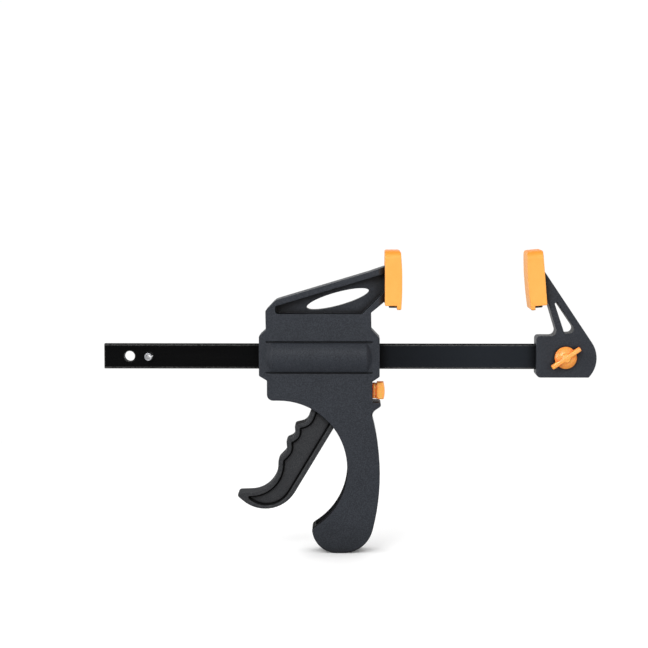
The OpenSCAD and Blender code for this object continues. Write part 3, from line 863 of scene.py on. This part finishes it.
@dataclass
class ThreadedStud:
    """The knob's screw with a rolled metric thread."""

    x: float = 290.5
    back_y: float = -12.9
    tip_y: float = 8.25
    major_r: float = 2.94
    depth: float = 0.5
    pitch: float = 1.0
    plain: float = 3.4
    flank: float = 1.35
    root: float = 0.15
    chamfer_share: float = 1.1
    rows_per_pitch: int = 10
    sides: int = 36

    def radius(self, y: float, angle: float) -> float:
        """Finds the thread's radius.

        Args:
            y: place along the screw.
            angle: angle round it.

        Returns:
            The radius there.
        """
        phase = ((y - self.back_y) / self.pitch - angle / math.tau) % 1.0
        crest = max(0.0, min(1.0, self.flank * (1 - abs(2 * phase - 1)) - self.root))
        fade = max(0.0, min(1.0, (y - self.back_y - self.plain) / self.pitch))
        tip = max(0.0, y - self.tip_y + self.chamfer_share * self.depth)
        return self.major_r - self.depth * (1 - crest) * fade - tip

    def ring(self, y: float) -> Ring:
        """Draws the screw's outline at a place along it.

        Args:
            y: place along the screw.

        Returns:
            The outline's points.
        """
        points: Ring = []
        for i in range(self.sides):
            angle = math.tau * i / self.sides
            r = self.radius(y, angle)
            points.append((self.x + r * math.cos(angle), y, -r * math.sin(angle)))
        return points

    def build(self, bench: Bench) -> bpy.types.Object:
        """Cuts the thread and places the stud.

        Args:
            bench: the materials.

        Returns:
            The stud.
        """
        length = self.tip_y - self.back_y
        rows = round(length / self.pitch * self.rows_per_pitch)
        rings = [self.ring(self.back_y + length * i / rows) for i in range(rows + 1)]
        mesh = to_mesh(loft(rings), "threaded_stud")
        return bench.piece("threaded_stud", mesh, ZINC, "knob", "bright_steel", "knob_stud")


@dataclass
class Bar:
    """The flat steel bar and the roll pin that stops the head."""

    edge: float = 0.25
    pin_edge: float = 0.15

    def build(self, bench: Bench) -> None:
        """Dresses the bar's nodes."""
        bench.dress("bar", BLACK_STEEL, self.edge)
        bench.dress("stop_pin", ZINC, self.pin_edge)


@dataclass
class FixedJaw:
    """The fixed jaw with its pad, nut, washer and wing screw."""

    edge: float = 0.6
    pad_edge: float = 0.4
    nut_edge: float = 0.3
    washer_edge: float = 0.12

    def build(self, bench: Bench) -> None:
        """Dresses the jaw's nodes and adds the knob and the screw.

        Args:
            bench: the materials.
        """
        bench.dress("fixed_jaw", HOUSING, self.edge)
        bench.dress("fixed_pad", SOFT_ORANGE, self.pad_edge)
        bench.dress("jaw_nut", ZINC, self.nut_edge)
        bench.dress("knob_washer", ZINC, self.washer_edge)
        WingKnob().build(bench)
        ThreadedStud().build(bench)


@dataclass
class SlidingHead:
    """The two-part housing with its screws, the trigger's pin and the jaw pad."""

    edge: float = 0.45
    pad_edge: float = 0.4
    screw_edge: float = 0.15
    pin_edge: float = 0.25

    def build(self, bench: Bench) -> None:
        """Dresses the head's nodes.

        Args:
            bench: the materials.
        """
        for node in ("near_shell", "far_shell"):
            bench.dress(node, HOUSING, self.edge)
        bench.dress("moving_pad", SOFT_ORANGE, self.pad_edge)
        bench.dress("shell_screws", ZINC, self.screw_edge)
        bench.dress("trigger_pin", ZINC, self.pin_edge)


@dataclass
class TriggerGear:
    """The trigger, the two drive plates, their seat and their spring."""

    edge: float = 0.55
    plate_edge: float = 0.15
    spring_keep: float = 0.82

    def build(self, bench: Bench) -> None:
        """Dresses the gear's nodes and winds the drive spring.

        Args:
            bench: the materials.
        """
        bench.dress("trigger", TRIGGER, self.edge)
        for node in ("drive_plate_front", "drive_plate_rear", "spring_seat"):
            bench.dress(node, ZINC, self.plate_edge)
        spring = CoilSpring("drive_coil", "drive_spring", start_x=97.75, axis_z=0.0, length=25.5,
                            mean_r=10.064, wire=1.4, turns=7)
        spring.build(bench, "drive_stroke", self.spring_keep)


@dataclass
class Release:
    """The brake plate with its spring and the orange button."""

    edge: float = 0.5
    plate_edge: float = 0.15
    spring_keep: float = 0.74

    def build(self, bench: Bench) -> None:
        """Dresses the release's nodes and winds the brake spring.

        Args:
            bench: the materials.
        """
        bench.dress("brake_plate", ZINC, self.plate_edge)
        bench.dress("release_button", HARD_ORANGE, self.edge)
        spring = CoilSpring("brake_coil", "brake_spring", start_x=149.35, axis_z=-13.2, length=5.7,
                            mean_r=2.6, wire=0.8, turns=3, sides=8, steps=24)
        spring.build(bench, "release_press", self.spring_keep)


@dataclass(frozen=True)
class Lamp:
    """A square lamp: its place and side in metres, its power in watts."""

    name: str
    place: Point
    side: float
    power: float
    mirrored: bool = True

    def hang(self, aim: Point) -> None:
        """Hangs the lamp, which shows in reflections only if it is mirrored.

        Args:
            aim: the point that it faces.
        """
        data = bpy.data.lights.new(self.name, "AREA")
        data.size = self.side
        data.energy = self.power
        obj = bpy.data.objects.new(self.name, data)
        obj.location = self.place
        obj.visible_glossy = self.mirrored
        way = Vector(aim) - obj.location
        obj.rotation_euler = way.to_track_quat("-Z", "Y").to_euler()
        bpy.context.scene.collection.objects.link(obj)


LAMPS = (Lamp("key", (-0.47, -1.42, 0.74), side=0.9, power=13.0),
         Lamp("left", (-1.45, -0.45, 0.25), side=0.9, power=7.0),
         Lamp("fill", (1.2, -1.5, -0.02), side=1.2, power=12.0),
         Lamp("rear", (0.5, 1.5, 0.9), side=1.2, power=8.0, mirrored=False))


@dataclass
class Studio:
    """Camera at the photograph's place, soft lamps and a white floor.

    The sky's light rises with height. In reflections it is dim in front of the clamp and
    white behind it, and the camera sees plain white.
    """

    eye_mm: Point = (148.05, -1266.67, 120.88)
    pitch: float = 4.4843
    yaw: float = 0.8141
    focal_px: float = 1900.0
    frame_px: float = 648.0
    sensor_mm: float = 36.0
    far_clip: float = 50.0
    aim: Point = (0.15, 0.0, -0.03)
    white: float = 1.02
    sky: Span = (0.55, 0.85)
    sky_rise: Span = (-0.2, 0.9)
    front_shine: float = 0.22
    rear_turn: Span = (-0.1, 0.5)
    floor_place: Point = (0.13, 0.0, -0.1315)
    floor_half: float = 6.0
    floor_bounce: Colour = (0.46, 0.46, 0.46)
    floor_paper: Colour = (0.94, 0.94, 0.94)
    floor_roughness: float = 0.7
    floor_glow: float = 0.13
    contact_shadow_mm: float = 20.0
    contact_shadow_span: Span = (0.3, 1.0)
    floor_fade: Span = (0.22, 0.60)
    floor_rear: Span = (0.15, 0.45)

    def camera(self) -> None:
        """Places the camera."""
        data = bpy.data.cameras.new("view")
        data.sensor_width = self.sensor_mm
        data.lens = self.sensor_mm * self.focal_px / self.frame_px
        data.clip_end = self.far_clip
        obj = bpy.data.objects.new("view", data)
        obj.location = Vector(self.eye_mm) * MM
        obj.rotation_euler = (math.radians(90 - self.pitch), 0, math.radians(self.yaw))
        bpy.context.scene.collection.objects.link(obj)
        bpy.context.scene.camera = obj

    def world(self) -> None:
        """Sets the sky."""
        world = bpy.data.worlds.new("studio")
        bpy.context.scene.world = world
        world.use_nodes = True
        nodes = Nodes(world.node_tree)
        way = nodes.parts(nodes.add("ShaderNodeTexCoord").outputs["Generated"])
        ray = nodes.add("ShaderNodeLightPath").outputs
        sky = nodes.spread(way["Z"], *self.sky_rise, *self.sky)
        mirrored = nodes.spread(way["Y"], *self.rear_turn, self.front_shine, 1.0)
        strength = nodes.spread(ray["Is Glossy Ray"], 0.0, 1.0, sky, mirrored)
        for kind in ("Is Camera Ray", "Is Transmission Ray"):
            strength = nodes.spread(ray[kind], 0.0, 1.0, strength, self.white)
        back = nodes.find("BACKGROUND")
        nodes.give(back.inputs["Color"], (1, 1, 1, 1))
        nodes.give(back.inputs["Strength"], strength)

    def floor_material(self) -> bpy.types.Material:
        """Makes white paper, which fades to plain white away from the clamp, with a painted
        contact shadow where the clamp stands close.

        Returns:
            The material.
        """
        shader = Shader("floor_paper")
        ray = shader.add("ShaderNodeLightPath").outputs
        seen = ray["Is Camera Ray"]
        # painted contact shadow: the floor's glow is taken away where the clamp stands close
        clear = shader.mask(shader.openness(self.contact_shadow_mm), self.contact_shadow_span, self.floor_glow)
        shader.set(Base_Color=shader.blend(seen, self.floor_bounce, self.floor_paper),
                   Roughness=self.floor_roughness, Specular_IOR_Level=0.0,
                   Emission_Color=(1, 1, 1, 1), Emission_Strength=shader.times(seen, clear))
        fade = shader.times(shader.mask(shader.length(shader.place), self.floor_fade), seen)
        rear = shader.mask(shader.parts(shader.place)["Y"], self.floor_rear)
        shine = shader.times(rear, ray["Is Glossy Ray"])
        plain = shader.add("ShaderNodeEmission", Strength=self.white)
        mix = shader.add("ShaderNodeMixShader", shader.larger(fade, shine),
                         shader.bsdf.outputs[0], plain.outputs[0])
        shader.give(shader.find("OUTPUT_MATERIAL").inputs["Surface"], mix.outputs[0])
        return shader.material

    def floor(self) -> None:
        """Lays a white floor that takes the lamps' shadow and a painted contact shadow near the
        clamp.
        """
        bm = bmesh.new()
        bmesh.ops.create_grid(bm, x_segments=4, y_segments=4, size=self.floor_half)
        mesh = to_mesh(bm, "floor")
        obj = bpy.data.objects.new("floor", mesh)
        obj.location = self.floor_place
        bpy.context.scene.collection.objects.link(obj)
        mesh.materials.append(self.floor_material())

    def build(self) -> None:
        """Sets up the whole studio."""
        bpy.context.scene.view_settings.view_transform = "Standard"
        self.camera()
        for lamp in LAMPS:
            lamp.hang(self.aim)
        self.world()
        self.floor()


def main() -> None:
    """Builds the clamp's pieces in order."""
    logging.basicConfig(level=logging.INFO, format="%(message)s")
    bench = Bench()
    for part in (Bar(), FixedJaw(), SlidingHead(), TriggerGear(), Release()):
        part.build(bench)
        log.info("%s done", type(part).__name__)
    Studio().build()
    bpy.context.view_layer.update()


if __name__ == "__main__":
    main()
